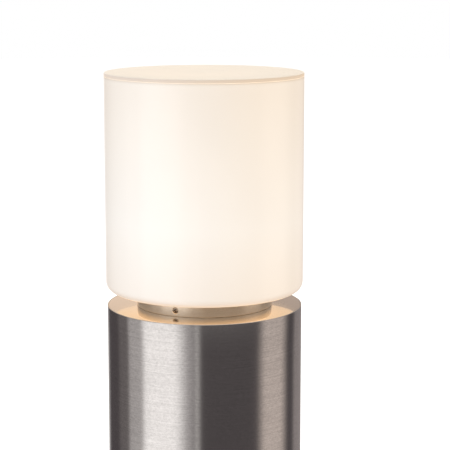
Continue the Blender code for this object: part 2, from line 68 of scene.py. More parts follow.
def ring_body(profile, segs):
    """A turned body about Z from (r, z) or (half flats, z, 'hex') points in mm."""
    bm = bmesh.new()
    rings = []
    for p in profile:
        if p[0] < 1e-9:
            rings.append([bm.verts.new((0, 0, p[1] * MM))])
            continue
        ring = []
        for k in range(segs):
            a = 2 * math.pi * k / segs
            r = hex_r(p[0], a) if len(p) > 2 else p[0]
            ring.append(
                bm.verts.new((r * MM * math.cos(a), r * MM * math.sin(a), p[1] * MM))
            )
        rings.append(ring)
    pairs = list(zip(rings, rings[1:]))
    if len(rings[0]) > 1:
        pairs.append((rings[-1], rings[0]))
    for lo, hi in pairs:
        for k in range(segs):
            n = (k + 1) % segs
            if len(lo) == 1:
                bm.faces.new((lo[0], hi[k], hi[n]))
            elif len(hi) == 1:
                bm.faces.new((lo[k], lo[n], hi[0]))
            else:
                bm.faces.new((lo[k], lo[n], hi[n], hi[k]))
    bmesh.ops.recalc_face_normals(bm, faces=bm.faces)
    return bm


def make(name, bm, mat=None, sharp=32.0):
    mesh = bpy.data.meshes.new(name)
    bm.to_mesh(mesh)
    bm.free()
    mesh.shade_smooth()
    mesh.set_sharp_from_angle(angle=math.radians(sharp))
    if mat:
        mesh.materials.append(mat)
    obj = bpy.data.objects.new(name, mesh)
    scene.collection.objects.link(obj)
    return obj


def turned(name, profile, mat, segs=192, sharp=32.0):
    return make(name, ring_body(profile, segs), mat, sharp)


def smooth_corners(profile, radius, steps=3):
    """Each corner of a closed (r, z) profile gets a small round edge."""
    out = []
    n = len(profile)
    for i in range(n):
        a, p, b = (Vector(profile[(i + k) % n]) for k in (-1, 0, 1))
        u, v = (a - p), (b - p)
        if u.length < 1e-9 or v.length < 1e-9:
            continue
        turn = u.angle(v)
        if turn > math.radians(150):
            out.append(tuple(p))
            continue
        cut = min(radius / math.tan(turn / 2), 0.45 * u.length, 0.45 * v.length)
        start, end = p + u.normalized() * cut, p + v.normalized() * cut
        for s in range(steps + 1):
            t = s / steps
            out.append(tuple(start * (1 - t) ** 2 + p * 2 * t * (1 - t) + end * t * t))
    return out


def radial(angle, r, z):
    a = math.radians(angle)
    return Vector((r * math.cos(a), r * math.sin(a), z))


def aimed(bm, position, direction):
    turn = Vector((0, 0, 1)).rotation_difference(Vector(direction).normalized())
    bmesh.ops.transform(
        bm,
        matrix=Matrix.Translation(Vector(position) * MM) @ turn.to_matrix().to_4x4(),
        verts=bm.verts,
    )
    return bm


def rod(start, end, r, segs=48):
    start, end = Vector(start), Vector(end)
    length = (end - start).length
    return aimed(
        ring_body([(0, 0), (r, 0), (r, length), (0, length)], segs), start, end - start
    )


def cone(start, end, r0, r1, segs=48):
    start, end = Vector(start), Vector(end)
    length = (end - start).length
    return aimed(
        ring_body([(0, 0), (r0, 0), (r1, length), (0, length)], segs),
        start,
        end - start,
    )


def cut(obj, cutters):
    """Cuts the bodies from obj and keeps the result as its mesh."""
    helpers = []
    for i, bm in enumerate(cutters):
        helper = make(f"{obj.name}_cutter_{i}", bm)
        helpers.append(helper)
        mod = obj.modifiers.new(f"cut_{i}", "BOOLEAN")
        mod.operation = "DIFFERENCE"
        mod.solver = "EXACT"
        mod.object = helper
    bpy.context.view_layer.update()
    graph = bpy.context.evaluated_depsgraph_get()
    mesh = bpy.data.meshes.new_from_object(obj.evaluated_get(graph))
    obj.modifiers.clear()
    clean = bmesh.new()
    clean.from_mesh(mesh)
    bmesh.ops.remove_doubles(clean, verts=clean.verts, dist=4e-6)
    bmesh.ops.dissolve_degenerate(clean, edges=clean.edges, dist=1e-6)
    clean.to_mesh(mesh)
    clean.free()
    old = obj.data
    name = old.name
    obj.data = mesh
    bpy.data.meshes.remove(old)
    mesh.name = name
    for helper in helpers:
        data = helper.data
        bpy.data.objects.remove(helper, do_unlink=True)
        bpy.data.meshes.remove(data)
    mesh.shade_smooth()
    mesh.set_sharp_from_angle(angle=math.radians(32))
    return obj


def stand_for(obj, node, body):
    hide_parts(node)
    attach(obj, body)
    return obj


# ------------------------------------------------------------------ material tools
class Mat:
    """A Principled material with a few shorthands for its nodes."""

    def __init__(self, name, **constants):
        self.mat = bpy.data.materials.new(name)
        self.mat.use_nodes = True
        self.nt = self.mat.node_tree
        self.bsdf = self.nt.nodes["Principled BSDF"]
        for key, value in constants.items():
            socket = self.bsdf.inputs[key.replace("_", " ")]
            socket.default_value = (*value, 1.0) if isinstance(value, tuple) else value

    def node(self, kind, **props):
        n = self.nt.nodes.new(kind)
        for k, v in props.items():
            setattr(n, k, v)
        return n

    def link(self, a, b):
        self.nt.links.new(a, b)

    def coords(self, scale):
        tc = self.node("ShaderNodeTexCoord")
        mp = self.node("ShaderNodeMapping")
        mp.inputs["Scale"].default_value = scale
        self.link(tc.outputs["Object"], mp.inputs["Vector"])
        return mp.outputs["Vector"]

    def noise(self, scale, detail=3.0, rough=0.55, vector=None, distortion=0.0):
        n = self.node("ShaderNodeTexNoise")
        n.inputs["Scale"].default_value = 1.0
        n.inputs["Detail"].default_value = detail
        n.inputs["Roughness"].default_value = rough
        n.inputs["Distortion"].default_value = distortion
        self.link(vector or self.coords(scale), n.inputs["Vector"])
        return n.outputs["Fac"]

    def ramp(self, source, stops, interpolation="LINEAR"):
        n = self.node("ShaderNodeValToRGB")
        cr = n.color_ramp
        cr.interpolation = interpolation
        while len(cr.elements) > 1:
            cr.elements.remove(cr.elements[-1])
        for i, (pos, col) in enumerate(stops):
            e = cr.elements[0] if i == 0 else cr.elements.new(pos)
            e.position = pos
            col = (col, col, col) if not isinstance(col, tuple) else col
            e.color = (*col, 1.0)
        self.link(source, n.inputs["Fac"])
        return n.outputs["Color"]

    def span(self, source, low, high, from_low=0.0, from_high=1.0):
        n = self.node("ShaderNodeMapRange")
        n.inputs["From Min"].default_value = from_low
        n.inputs["From Max"].default_value = from_high
        n.inputs["To Min"].default_value = low
        n.inputs["To Max"].default_value = high
        self.link(source, n.inputs["Value"])
        return n.outputs["Result"]

    def math(self, op, a, b=None):
        n = self.node("ShaderNodeMath", operation=op)
        for i, v in enumerate((a, b)):
            if v is None:
                continue
            if isinstance(v, (int, float)):
                n.inputs[i].default_value = v
            else:
                self.link(v, n.inputs[i])
        return n.outputs["Value"]

    def mix(self, fac, a, b, blend="MIX"):
        n = self.node("ShaderNodeMix", data_type="RGBA", blend_type=blend)
        if isinstance(fac, (int, float)):
            n.inputs[0].default_value = fac
        else:
            self.link(fac, n.inputs[0])
        for i, v in ((6, a), (7, b)):
            if isinstance(v, tuple):
                n.inputs[i].default_value = (*v, 1.0)
            else:
                self.link(v, n.inputs[i])
        return n.outputs[2]

    def bump(self, height, strength, distance, normal=None):
        n = self.node("ShaderNodeBump")
        n.inputs["Strength"].default_value = strength
        n.inputs["Distance"].default_value = distance
        self.link(height, n.inputs["Height"])
        if normal is not None:
            self.link(normal, n.inputs["Normal"])
        return n.outputs["Normal"]

    def set(self, key, source):
        self.link(source, self.bsdf.inputs[key])

    def radius(self):
        """Distance from the Z axis, in metres."""
        tc = self.node("ShaderNodeTexCoord")
        sep = self.node("ShaderNodeSeparateXYZ")
        self.link(tc.outputs["Object"], sep.inputs["Vector"])
        xx = self.math("MULTIPLY", sep.outputs["X"], sep.outputs["X"])
        yy = self.math("MULTIPLY", sep.outputs["Y"], sep.outputs["Y"])
        return self.math("SQRT", self.math("ADD", xx, yy)), sep.outputs["Z"]


def ring_tangent(m):
    t = m.node("ShaderNodeTangent", direction_type="RADIAL", axis="Z")
    m.link(t.outputs["Tangent"], m.bsdf.inputs["Tangent"])


def brushed_round(name, dark, light, rough=(0.17, 0.25), aniso=0.85, grain=2400.0, bump=0.04):
    """Stainless brushed round its axis: fine hair lines that run along the circumference."""
    m = Mat(name, Metallic=1.0, Anisotropic=aniso, Anisotropic_Rotation=0.25)
    ring_tangent(m)
    fine = m.noise((16.0, 16.0, grain), 4.0, 0.7)
    mid = m.noise((14.0, 14.0, grain * 0.4), 3.0, 0.6)
    speck = m.noise((520.0, 520.0, 900.0), 4.0, 0.85)
    slow = m.noise((22.0, 22.0, 14.0), 2.0, 0.5)
    lines = m.math("ADD", m.math("MULTIPLY", fine, 0.92), m.math("MULTIPLY", mid, 0.08))
    streak = m.math("ADD", m.math("MULTIPLY", lines, 0.45), m.math("MULTIPLY", speck, 0.55))
    tone = m.math("ADD", m.math("MULTIPLY", streak, 0.85), m.math("MULTIPLY", slow, 0.15))
    m.set("Base Color", m.ramp(tone, [(0.38, dark), (0.62, light)]))
    m.set("Roughness", m.span(tone, rough[1], rough[0], 0.35, 0.65))
    m.set("Normal", m.bump(lines, bump, 0.00005))
    return m.mat


def polished_turned(name, dark, light, rough=(0.13, 0.21)):
    """Ground and polished plate: a hazy metal lobe under a clear one, with faint lathe rings."""
    m = Mat(name, Metallic=1.0, Coat_Weight=1.0, Coat_Roughness=0.04, Coat_IOR=2.8)
    r, z = m.radius()
    ring = m.node("ShaderNodeTexNoise", noise_dimensions="1D")
    ring.inputs["Scale"].default_value = 2600.0
    ring.inputs["Detail"].default_value = 3.0
    m.link(r, ring.inputs["W"])
    rings = ring.outputs["Fac"]
    smudge = m.noise((60.0, 60.0, 60.0), 4.0, 0.6, distortion=0.6)
    tone = m.math("ADD", m.math("MULTIPLY", rings, 0.6), m.math("MULTIPLY", smudge, 0.4))
    m.set("Base Color", m.ramp(tone, [(0.3, dark), (0.7, light)]))
    m.set("Roughness", m.span(smudge, rough[0], rough[1], 0.3, 0.75))
    fine = m.noise((1500.0, 1500.0, 300.0), 2.0, 0.5)
    height = m.math("ADD", rings, m.math("MULTIPLY", fine, 0.4))
    m.set("Normal", m.bump(height, 0.05, 0.00004))
    return m.mat


def opal(name, stops, base=(0.80, 0.79, 0.77), rough=(0.26, 0.36), coat=0.5):
    """Opal acrylic lit from inside: stops give its glow from the floor (0) to the top (1)."""
    m = Mat(
        name,
        Base_Color=base,
        IOR=1.49,
        Coat_Weight=coat,
        Coat_Roughness=0.12,
        Coat_Tint=(1.0, 0.97, 0.92),
    )
    r, z = m.radius()
    cloud = m.noise((28.0, 28.0, 22.0), 3.0, 0.5)
    grain = m.noise((900.0, 900.0, 900.0), 3.0, 0.6)
    zn = m.span(z, 0.0, 1.0, SHADE_Z0 * MM, SHADE_Z1 * MM)
    glow = m.ramp(zn, stops)
    mottled = m.mix(m.span(cloud, 0.0, 0.035, 0.3, 0.7), glow, (0.0, 0.0, 0.0))
    m.set("Emission Color", mottled)
    m.bsdf.inputs["Emission Strength"].default_value = 1.0
    m.set("Roughness", m.span(cloud, rough[0], rough[1], 0.3, 0.7))
    m.set("Base Color", m.mix(m.span(grain, 0.0, 0.06), base, (0.70, 0.66, 0.60)))
    m.set("Normal", m.bump(grain, 0.02, 0.00005))
    return m.mat


def plated(name, dark, light, rough=(0.28, 0.48), scale=420.0, bump=0.06):
    """Zinc, tin or nickel plating with its fine crystalline mottle."""
    m = Mat(name, Metallic=1.0)
    spot = m.node("ShaderNodeTexVoronoi")
    spot.inputs["Scale"].default_value = 1.0
    m.link(m.coords((scale, scale, scale)), spot.inputs["Vector"])
    cloud = m.noise((scale * 0.12,) * 3, 4.0, 0.6)
    tone = m.math(
        "ADD",
        m.math("MULTIPLY", spot.outputs["Distance"], 0.35),
        m.math("MULTIPLY", cloud, 0.65),
    )
    m.set("Base Color", m.ramp(tone, [(0.25, dark), (0.7, light)]))
    m.set("Roughness", m.span(tone, rough[0], rough[1], 0.25, 0.7))
    m.set("Normal", m.bump(tone, bump, 0.00008))
    return m.mat


def moulded(name, colour, rough=(0.38, 0.55), grain=1300.0, bump=0.12, coat=0.0):
    """Moulded plastic with a fine spark-eroded texture."""
    m = Mat(name, Coat_Weight=coat, Coat_Roughness=0.2)
    fine = m.noise((grain,) * 3, 3.0, 0.65)
    slow = m.noise((45.0,) * 3, 3.0, 0.5)
    tone = m.math("ADD", m.math("MULTIPLY", fine, 0.4), m.math("MULTIPLY", slow, 0.6))
    low = tuple(c * 0.86 for c in colour)
    high = tuple(min(1.0, c * 1.06) for c in colour)
    m.set("Base Color", m.ramp(tone, [(0.3, low), (0.7, high)]))
    m.set("Roughness", m.span(tone, rough[0], rough[1], 0.3, 0.7))
    m.set("Normal", m.bump(fine, bump, 0.00006))
    return m.mat


def glazed(name, colour):
    m = Mat(name, Coat_Weight=0.8, Coat_Roughness=0.05)
    slow = m.noise((70.0,) * 3, 4.0, 0.55)
    pit = m.noise((800.0,) * 3, 2.0, 0.5)
    low = tuple(c * 0.90 for c in colour)
    m.set("Base Color", m.ramp(slow, [(0.3, low), (0.7, colour)]))
    m.set("Roughness", m.span(slow, 0.16, 0.30, 0.3, 0.7))
    m.set("Normal", m.bump(pit, 0.05, 0.0001))
    return m.mat


def lit_globe(name, colour):
    """Frosted lamp globe, lit, brightest towards its crown."""
    m = Mat(name, Base_Color=(0.86, 0.85, 0.82), Coat_Weight=0.15, Coat_Roughness=0.3)
    r, z = m.radius()
    frost = m.noise((700.0,) * 3, 3.0, 0.6)
    zn = m.span(z, 0.0, 1.0, 0.505, 0.553)
    low = tuple(c * 0.62 for c in colour)
    glow = m.ramp(zn, [(0.0, low), (0.55, colour), (1.0, colour)], "EASE")
    m.set("Emission Color", m.mix(m.span(frost, 0.0, 0.08), glow, (0.0, 0.0, 0.0)))
    m.bsdf.inputs["Emission Strength"].default_value = 1.0
    m.set("Roughness", m.span(frost, 0.38, 0.55))
    m.set("Normal", m.bump(frost, 0.05, 0.00005))
    return m.mat


def lit_housing(name, colour, glow):
    """White moulded lamp housing, thin enough for the globe to shine through at its rim; its emission also paints
    light on it, dimmer down to its foot.
    """
    m = Mat(name, Coat_Weight=0.1, Coat_Roughness=0.25)
    r, z = m.radius()
    fine = m.noise((1000.0,) * 3, 3.0, 0.65)
    slow = m.noise((60.0,) * 3, 3.0, 0.5)
    low = tuple(c * 0.93 for c in colour)
    m.set("Base Color", m.ramp(slow, [(0.3, low), (0.7, colour)]))
    zn = m.span(z, 0.0, 1.0, 0.472, 0.505)
    dim = tuple(c * 0.45 for c in glow)
    m.set("Emission Color", m.ramp(zn, [(0.0, dim), (0.7, tuple(c * 0.8 for c in glow)), (1.0, glow)], "EASE"))
    m.bsdf.inputs["Emission Strength"].default_value = 1.0
    m.set("Roughness", m.span(slow, 0.32, 0.45, 0.3, 0.7))
    m.set("Normal", m.bump(fine, 0.05, 0.00006))
    return m.mat


# ------------------------------------------------------------------ materials
POST_STEEL = brushed_round("post_steel_brushed", (0.53, 0.515, 0.50), (0.75, 0.73, 0.71))
# Collar steel: its warm, bright tint paints the shade's glow falling on the collar; the bare steel is as grey as the
# post.
COLLAR_STEEL_PAINTED_GLOW = brushed_round(
    "collar_steel_satin_painted_glow", (0.86, 0.74, 0.60), (0.98, 0.88, 0.74), (0.30, 0.40), 0.8, 3000.0
)
PLATE_STEEL = polished_turned("plate_steel_polished", (0.38, 0.36, 0.33), (0.46, 0.43, 0.40))
BASE_STEEL = brushed_round(
    "base_steel_satin", (0.50, 0.485, 0.47), (0.64, 0.62, 0.60), (0.28, 0.40), 0.5, 1500.0
)
# Grub screw steel: its brown tint paints the warm reflection of the shade's glow on the screws.
SCREW_STEEL_PAINTED_WARM = plated("screw_steel_machined_painted_warm", (0.36, 0.28, 0.21), (0.60, 0.49, 0.38), (0.16, 0.28))
FOOT_STEEL = plated("foot_screw_steel", (0.52, 0.50, 0.48), (0.70, 0.68, 0.66), (0.18, 0.30))
# The glow stops paint light and shade into the emission: brightest and warmest on the floor, dimmed on the lower
# rounded edge as painted shade, peaking near the lamp's height, darker in a band at the body's top lip under the
# disc.
OPAL = opal(
    "opal_acrylic_lit",
    [
        (0.0, (1.10, 0.78, 0.50)),
        (0.006, (0.74, 0.58, 0.45)),
        (0.034, (0.80, 0.70, 0.61)),
        (0.34, (0.84, 0.77, 0.70)),
        (0.972, (0.78, 0.68, 0.58)),
        (0.982, (0.62, 0.50, 0.38)),
    ],
)
OPAL_DISC = opal(
    "opal_acrylic_disc_lit",
    [
        (0.9835, (0.62, 0.50, 0.38)),
        (0.985, (0.64, 0.48, 0.34)),
        (0.995, (0.62, 0.46, 0.32)),
        (0.997, (0.52, 0.37, 0.25)),
        (0.9997, (0.52, 0.43, 0.32)),
    ],
    rough=(0.46, 0.58),
    coat=0.0,
)
NECK_OPAL = moulded("neck_acrylic_moulded", (0.88, 0.86, 0.82), (0.28, 0.42), 900.0, 0.05, 0.2)
SILICONE = moulded("silicone_gasket", (0.74, 0.73, 0.70), (0.55, 0.7), 700.0, 0.10)
ZINC = plated("zinc_plate", (0.50, 0.51, 0.54), (0.74, 0.75, 0.76))
BRASS = plated("brass_satin", (0.58, 0.42, 0.18), (0.80, 0.64, 0.34), (0.22, 0.38), 300.0)
TIN = plated("tin_plate", (0.60, 0.59, 0.56), (0.80, 0.79, 0.77), (0.25, 0.4), 350.0)
NICKEL = plated("nickel_plate", (0.62, 0.61, 0.59), (0.78, 0.77, 0.75), (0.16, 0.28), 250.0, 0.03)
PORCELAIN = glazed("porcelain_glazed", (0.88, 0.87, 0.84))
BOX_GREY = moulded("box_plastic_grey", (0.42, 0.43, 0.44))
LID_GREY = moulded("lid_plastic_grey", (0.45, 0.46, 0.47))
BLOCK_WHITE = moulded("block_plastic_white", (0.86, 0.85, 0.81), (0.35, 0.5), 900.0, 0.06)
GLAND_GREY = moulded("gland_plastic_grey", (0.30, 0.31, 0.32), (0.35, 0.5))
EARTH_GREEN = moulded("earth_insulation_green", (0.25, 0.42, 0.10), (0.35, 0.5), 800.0, 0.05)
SHEATH = moulded("cable_sheath_pale", (0.80, 0.79, 0.76), (0.4, 0.55), 600.0, 0.08)
BLACK_GLASS = glazed("black_glass", (0.03, 0.03, 0.035))
GLOW_HOUSING = lit_housing("lamp_housing_white_lit", (0.88, 0.87, 0.84), (0.40, 0.33, 0.25))
GLOBE = lit_globe("lamp_globe_lit", (0.74, 0.62, 0.46))

# ------------------------------------------------------------------ post and base
tube_side = [6.7, 14.0, 20.0, 33.0, 60.0, 120.0, 180.0, 240.0, 300.0, 360.0, 420.0, 455.0]
post = turned(
    "post_tube_fine",
    [(POST_IN, 6.3), (POST_R - 0.4, 6.3)]
    + [(POST_R, z) for z in tube_side]
    + arc(POST_R - 0.28, POST_TOP - 0.28, 0.28, 0, 90, 4)
    + [(POST_R - 0.56, POST_TOP), (POST_R - 0.56, POST_TOP - 2.5), (POST_IN, POST_TOP - 2.5)]
    + [(POST_IN, z) for z in reversed(tube_side)],
    POST_STEEL,
    256,
)
cut(
    post,
    [rod(radial(a, 45, FOOT_Z), radial(a, 60, FOOT_Z), 2.8) for a in FOOT_ANGLES]
    + [cone(radial(a, 53.7, FOOT_Z), radial(a, 54.5, FOOT_Z), 2.7, 3.3) for a in FOOT_ANGLES],
)
stand_for(post, "post_tube", "post")

plate = turned(
    "top_plate_fine",
    smooth_corners(
        [
            (21.0, POST_TOP - 5.0),
            (51.6, POST_TOP - 5.0),
            (51.6, POST_TOP - 2.4),
            (53.38, POST_TOP - 2.4),
            (53.38, POST_TOP),
            (21.0, POST_TOP),
        ],
        0.14,
    ),
    PLATE_STEEL,
    256,
)
stand_for(plate, "top_plate", "post")

base = turned(
    "base_plate_fine",
    smooth_corners([(16.0, 0.0), (BASE_R, 0.0), (BASE_R, BASE_T), (16.0, BASE_T)], 0.9, 5),
    BASE_STEEL,
    256,
)
anchors = [radial(a, 64.5, 0) for a in (45, 135, 225, 315)]
cut(
    base,
    [rod((p.x, p.y, -2), (p.x, p.y, 9), 4.5, 64) for p in anchors]
    + [cone((p.x, p.y, 5.5), (p.x, p.y, 6.6), 4.4, 5.5, 64) for p in anchors]
    + [rod((x, 34, -2), (x, 34, 9), 2.3, 32) for x in (-12, 12)],
)
stand_for(base, "base_plate", "post")

spigot = turned(
    "base_spigot_fine",
    smooth_corners([(47.6, 6.3), (51.6, 6.3), (51.6, 46.0), (47.6, 46.0)], 0.8),
    BASE_STEEL,
    192,
)
cut(spigot, [rod(radial(a, 40, FOOT_Z), radial(a, 60, FOOT_Z), 2.8) for a in FOOT_ANGLES])
stand_for(spigot, "base_spigot", "post")


def button_screw():
    head = arc(0, 8.55, 4.7, 21, 62, 8)
    return ring_body(
        [(0, 0), (2.1, 0), (2.45, 0.5), (2.45, 10.0), (4.55, 10.0)]
        + [(r, z + 0.35) for r, z in head]
        + [(1.75, 12.66), (1.5, 12.4, "hex"), (1.5, 10.9, "hex"), (0.4, 10.4), (0, 10.35)],
        48,
    )


for number, angle in enumerate(FOOT_ANGLES, 1):
    screw = make(
        f"foot_screw_{number}_fine",
        aimed(button_screw(), radial(angle, 44.4, FOOT_Z), radial(angle, 1, 0)),
        FOOT_STEEL,
    )
    stand_for(screw, f"foot_screw_{number}", "post")

# ------------------------------------------------------------------ collar and clamp screws
collar = turned(
    "collar_fine",
    smooth_corners(
        [
            (COLLAR_IN, POST_TOP + 0.06),
            (COLLAR_R, POST_TOP + 0.06),
            (COLLAR_R, COLLAR_Z1),
            (COLLAR_IN, COLLAR_Z1),
        ],
        0.16,
        4,
    ),
    COLLAR_STEEL_PAINTED_GLOW,
    256,
)
cut(
    collar,
    [rod(radial(a, 32, CLAMP_Z), radial(a, 40, CLAMP_Z), 1.62, 40) for a in CLAMP_ANGLES]
    + [cone(radial(a, 37.15, CLAMP_Z), radial(a, 38.0, CLAMP_Z), 1.5, 2.35, 40) for a in CLAMP_ANGLES],
)
stand_for(collar, "collar", "post")


def grub_screw():
    """M3 grub screw: thread crests as fine rings, cup point and hex socket."""
    body = [(0, 0.35), (0.6, 0.05), (0.95, 0.0), (1.25, 0.35)]
    for k in range(5):
        z = 0.5 + 0.42 * k
        body += [(1.46, z + 0.10), (1.28, z + 0.31)]
    body += [(1.47, 2.62), (1.3, 2.82), (0.98, 2.85), (0.80, 2.68, "hex"), (0.80, 1.3, "hex"), (0.2, 1.05), (0, 1.0)]
    return ring_body(body, 48)


for number, angle in enumerate(CLAMP_ANGLES, 1):
    screw = make(
        f"clamp_screw_{number}_fine",
        aimed(grub_screw(), radial(angle, NECK_R + 0.3, CLAMP_Z), radial(angle, 1, 0)),
        SCREW_STEEL_PAINTED_WARM,
    )
    stand_for(screw, f"clamp_screw_{number}", f"clamp_{number}")

# ------------------------------------------------------------------ shade
side = [
    (SHADE_R, SHADE_Z0 + 5.0 + (597.4 - SHADE_Z0 - 5.0) * i / 16) for i in range(1, 16)
]
shade = turned(
    "shade_body_fine",
    [(34.5, SHADE_Z0 + 0.1), (34.7, SHADE_Z0), (42.0, SHADE_Z0)]
    + arc(SHADE_R - 5.0, SHADE_Z0 + 5.0, 5.0, -90, 0, 14)
    + side
    + [(SHADE_R, 597.80)]
    + arc(SHADE_R - 0.12, 597.84, 0.12, 0, 90, 3)[1:]
    + [(51.9, 597.96), (51.7, 597.76)]
    + [(51.7, z) for _, z in reversed(side)]
    + arc(49.7, 484.5, 2.0, 0, -90, 6)
    + [(34.5, 482.5)],
    OPAL,
    256,
)
stand_for(shade, "shade_body", "shade")

disc = turned(
    "shade_top_disc_fine",
    [(0, 598.0), (53.9, 598.0)]
    + arc(SHADE_R - 0.12, 598.12, 0.12, -90, 0, 3)
    + arc(SHADE_R - 0.45, SHADE_Z1 - 0.45, 0.45, 0, 90, 5)
    + [(40.0, SHADE_Z1), (20.0, SHADE_Z1), (0, SHADE_Z1)],
    OPAL_DISC,
    256,
)
stand_for(disc, "shade_top_disc", "shade")

neck = turned(
    "shade_neck_ring_fine",
    smooth_corners([(NECK_IN, 472.7), (NECK_R, 472.7), (NECK_R, 484.0), (NECK_IN, 484.0)], 0.4),
    NECK_OPAL,
    192,
)
stand_for(neck, "shade_neck_ring", "shade")

gasket = turned(
    "shade_gasket_fine",
    smooth_corners([(32.3, 471.4), (34.1, 471.4), (34.1, 472.4), (32.3, 472.4)], 0.3, 4),
    SILICONE,
    160,
)
stand_for(gasket, "shade_gasket", "post")

# ------------------------------------------------------------------ lampholder
holder = turned(
    "lampholder_body_fine",
    smooth_corners(
        [
            (5.4, 428.3),
            (9.0, 428.3),
            (9.0, 433.0),
            (13.5, 437.0),
            (18.5, 441.5),
            (19.5, 444.0),
            (19.5, 461.0),
            (18.9, 461.6),
            (18.9, 463.0),
            (19.5, 463.6),
            (19.5, 474.3),
            (16.2, 474.3),
            (16.2, 441.0),
            (2.4, 441.0),
            (2.4, 436.3),
            (5.4, 436.3),
        ],
        0.7,
    ),
    PORCELAIN,
    96,
)
stand_for(holder, "lampholder_body", "post")

shell = turned(
    "lampholder_shell_fine",
    smooth_corners(
        [(13.6, 471.0), (14.6, 471.0), (14.6, 444.0), (9.0, 444.0), (9.0, 444.8), (13.6, 444.8)],
        0.3,
    ),
    BRASS,
    96,
)
stand_for(shell, "lampholder_shell", "post")

# ------------------------------------------------------------------ lamp


def screw_cap(segs=96, rows=60):
    """E27 cap with its rolled helical thread, open at the top and at the insulator."""
    bm = bmesh.new()
    rings = []

    def ring(z, radius_at):
        rings.append(
            [
                bm.verts.new(
                    (
                        radius_at(a, z) * MM * math.cos(a),
                        radius_at(a, z) * MM * math.sin(a),
                        z * MM,
                    )
                )
                for a in (2 * math.pi * k / segs for k in range(segs))
            ]
        )

    for r, z in ((10.25, 448.95), (10.6, 448.95), (11.3, 449.7)):
        ring(z, lambda a, z, r=r: r)

    def thread(a, z):
        phase = (z - 452.0) / PITCH - a / (2 * math.pi)
        wave = 0.5 - 0.5 * math.cos(2 * math.pi * phase)
        fade = min(1.0, max(0.0, (z - 450.6) / 1.6)) * min(1.0, max(0.0, (469.6 - z) / 1.6))
        return 12.45 + 0.75 * wave * fade

    for i in range(rows + 1):
        ring(450.6 + (470.2 - 450.6) * i / rows, thread)
    for r, z in ((12.7, 470.6), (12.7, 471.5), (11.65, 471.5), (11.65, 452.3), (10.25, 450.6)):
        ring(z, lambda a, z, r=r: r)
    for lo, hi in list(zip(rings, rings[1:])) + [(rings[-1], rings[0])]:
        for k in range(segs):
            n = (k + 1) % segs
            bm.faces.new((lo[k], lo[n], hi[n], hi[k]))
    bmesh.ops.recalc_face_normals(bm, faces=bm.faces)
    return bm


cap = make("bulb_cap_fine", screw_cap(), NICKEL, 40)
stand_for(cap, "bulb_cap", "lamp_cap")
tip = turned(
    "bulb_contact_fine",
    [(0, 443.9)] + [(4.6 * math.sin(math.radians(a)), 445.1 - 1.2 * math.cos(math.radians(a))) for a in range(10, 91, 10)] + [(4.6, 445.4), (0, 445.4)],
    TIN,
    48,
)
stand_for(tip, "bulb_contact", "lamp_cap")
insulator = turned(
    "bulb_insulator_fine",
    [(0, 445.7), (4.9, 445.7), (5.3, 445.9), (9.4, 449.1), (9.7, 449.6), (9.7, 450.6), (9.5, 450.8), (0, 450.8)],
    BLACK_GLASS,
    64,
)
stand_for(insulator, "bulb_insulator", "lamp_cap")

housing = turned(
    "bulb_housing_fine",
    [(0, 471.8), (13.2, 471.8), (13.6, 472.0), (14.1, 473.6), (14.5, 475.0)]
    + [
        (14.6 + 9.4 * ((z - 475.0) / 28.0) ** 1.35, z)
        for z in (477.0, 480.0, 483.0, 486.0, 489.0, 492.0, 495.0, 498.0, 501.0)
    ]
    + [(24.3, 503.2), (24.4, 504.4), (24.1, 504.7), (0, 504.7)],
    GLOW_HOUSING,
    128,
    50,
)
stand_for(housing, "bulb_housing", "lamp")

globe_c = LAMP_TOP - LAMP_R
foot = math.degrees(math.asin((505.0 - globe_c) / LAMP_R))
foot_in = math.degrees(math.asin((505.2 - globe_c) / (LAMP_R - 1.5)))
globe = turned(
    "bulb_globe_fine",
    [(0, LAMP_TOP)]
    + arc(0, globe_c, LAMP_R, 86, foot, 30)
    + arc(0, globe_c, LAMP_R - 1.5, foot_in, 86, 24)
    + [(0, LAMP_TOP - 1.5)],
    GLOBE,
    128,
    60,
)
stand_for(globe, "bulb_globe", "lamp")

# ------------------------------------------------------------------ pieces kept from the frame
KEPT = {
    "lampholder_contact": BRASS,
    "holder_bracket": ZINC,
    "bracket_stud_1": ZINC,
    "bracket_stud_2": ZINC,
    "bracket_nut_1": ZINC,
    "bracket_nut_2": ZINC,
    "holder_nipple": BRASS,
    "nipple_nut": BRASS,
    "gear_tray": ZINC,
    "tray_screw_1": ZINC,
    "tray_screw_2": ZINC,
    "terminal_box": BOX_GREY,
    "box_lid": LID_GREY,
    "lid_screw_1": ZINC,
    "lid_screw_2": ZINC,
    "lid_screw_3": ZINC,
    "lid_screw_4": ZINC,
    "box_screw_1": ZINC,
    "box_screw_2": ZINC,
    "terminal_block": BLOCK_WHITE,
    "inlet_gland": GLAND_GREY,
    "inlet_gland_nut": GLAND_GREY,
    "outlet_gland": GLAND_GREY,
    "outlet_gland_nut": GLAND_GREY,
    "earth_stud": ZINC,
    "earth_nut": BRASS,
    "earth_lug_lower": TIN,
    "earth_lug_upper": TIN,
    "earth_lead": EARTH_GREEN,
    "lamp_cable": SHEATH,
}
for node, mat in KEPT.items():
    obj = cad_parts[node]
    if not obj.material_slots:
        obj.data.materials.append(mat)
    for slot in obj.material_slots:
        slot.material = mat

